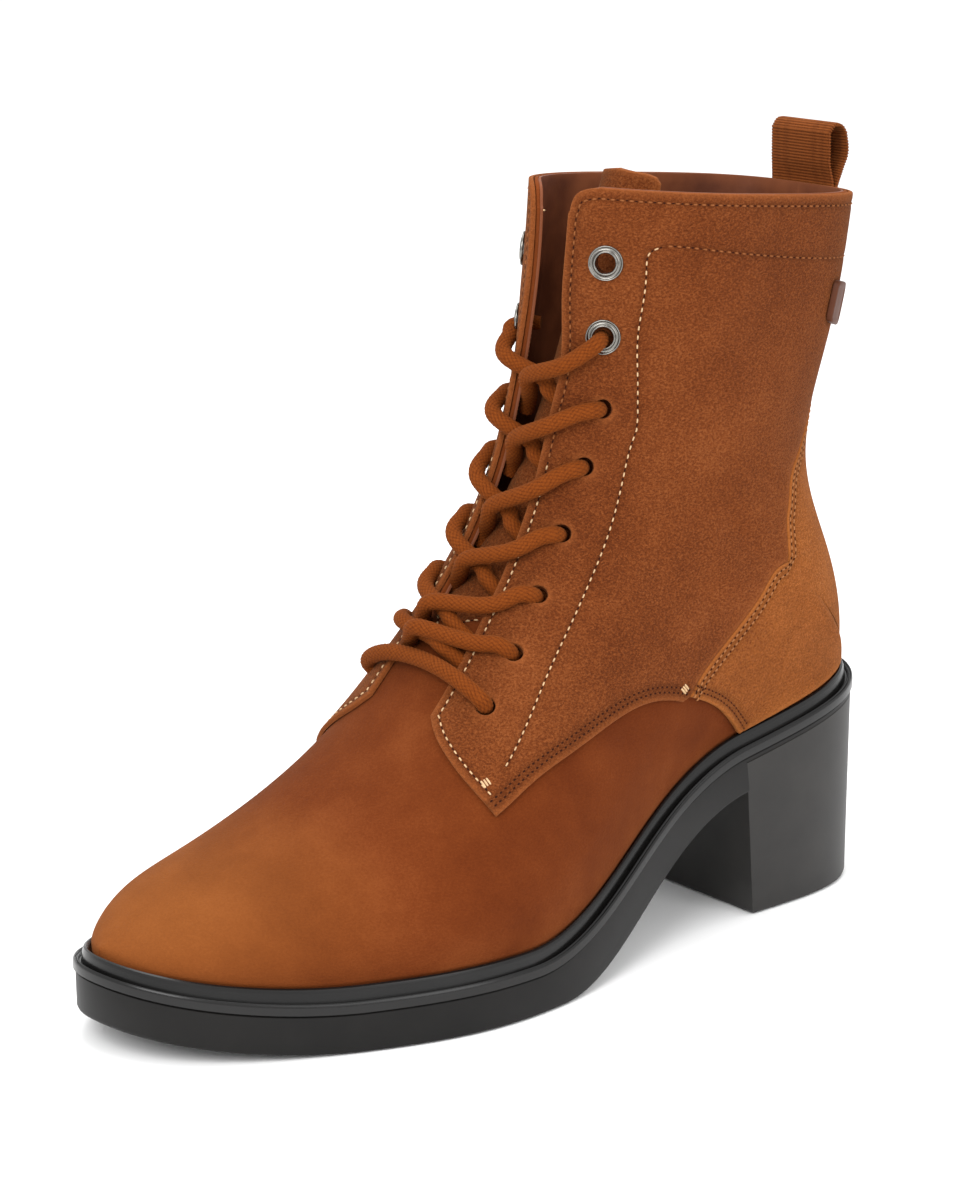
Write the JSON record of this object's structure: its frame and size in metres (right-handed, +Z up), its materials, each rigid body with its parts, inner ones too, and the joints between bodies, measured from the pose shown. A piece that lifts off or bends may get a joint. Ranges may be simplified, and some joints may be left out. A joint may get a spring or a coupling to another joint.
{
  "type": "lace up ankle boot",
  "caption": "Left ankle boot for a woman, laced over a tongue, with a round toe, a welted sole and a block heel.",
  "frame": {"origin": "centre of the heel's ground face, on the middle line of the seat", "axes": "+Z up, toe towards -Y, outer side of the foot towards +X"},
  "size_m": [0.0975, 0.254, 0.22],
  "materials": {
    "rubber": "black, semi-matte",
    "lining": "dark brown leather sock and lining",
    "nubuck": "tan nubuck, smooth",
    "suede": "tan suede, napped",
    "counter_suede": "orange tan suede, napped",
    "moulded_tab": "brown, plain, moulded",
    "lace": "braided round cord, orange brown",
    "nickel": "polished nickel",
    "webbing": "ribbed webbing, tan"
  },
  "bodies": {
    "root": {"outsole": "rubber", "welt": "rubber", "heel": "rubber", "insole": "lining", "upper": "nubuck", "quarter_lateral": "suede", "quarter_medial": "suede", "counter": "counter_suede", "tongue": "suede", "side_tab": "moulded_tab", "lace_bar": "lace", "lace_cross_1": "lace", "lace_cross_2": "lace", "lace_cross_3": "lace", "lace_cross_4": "lace", "lace_cross_5": "lace", "lace_cross_6": "lace", "eyelet_lateral_7": "nickel", "eyelet_medial_7": "nickel", "eyelet_lateral_8": "nickel", "eyelet_medial_8": "nickel", "pull_loop": "webbing"}
  },
  "joints": []
}
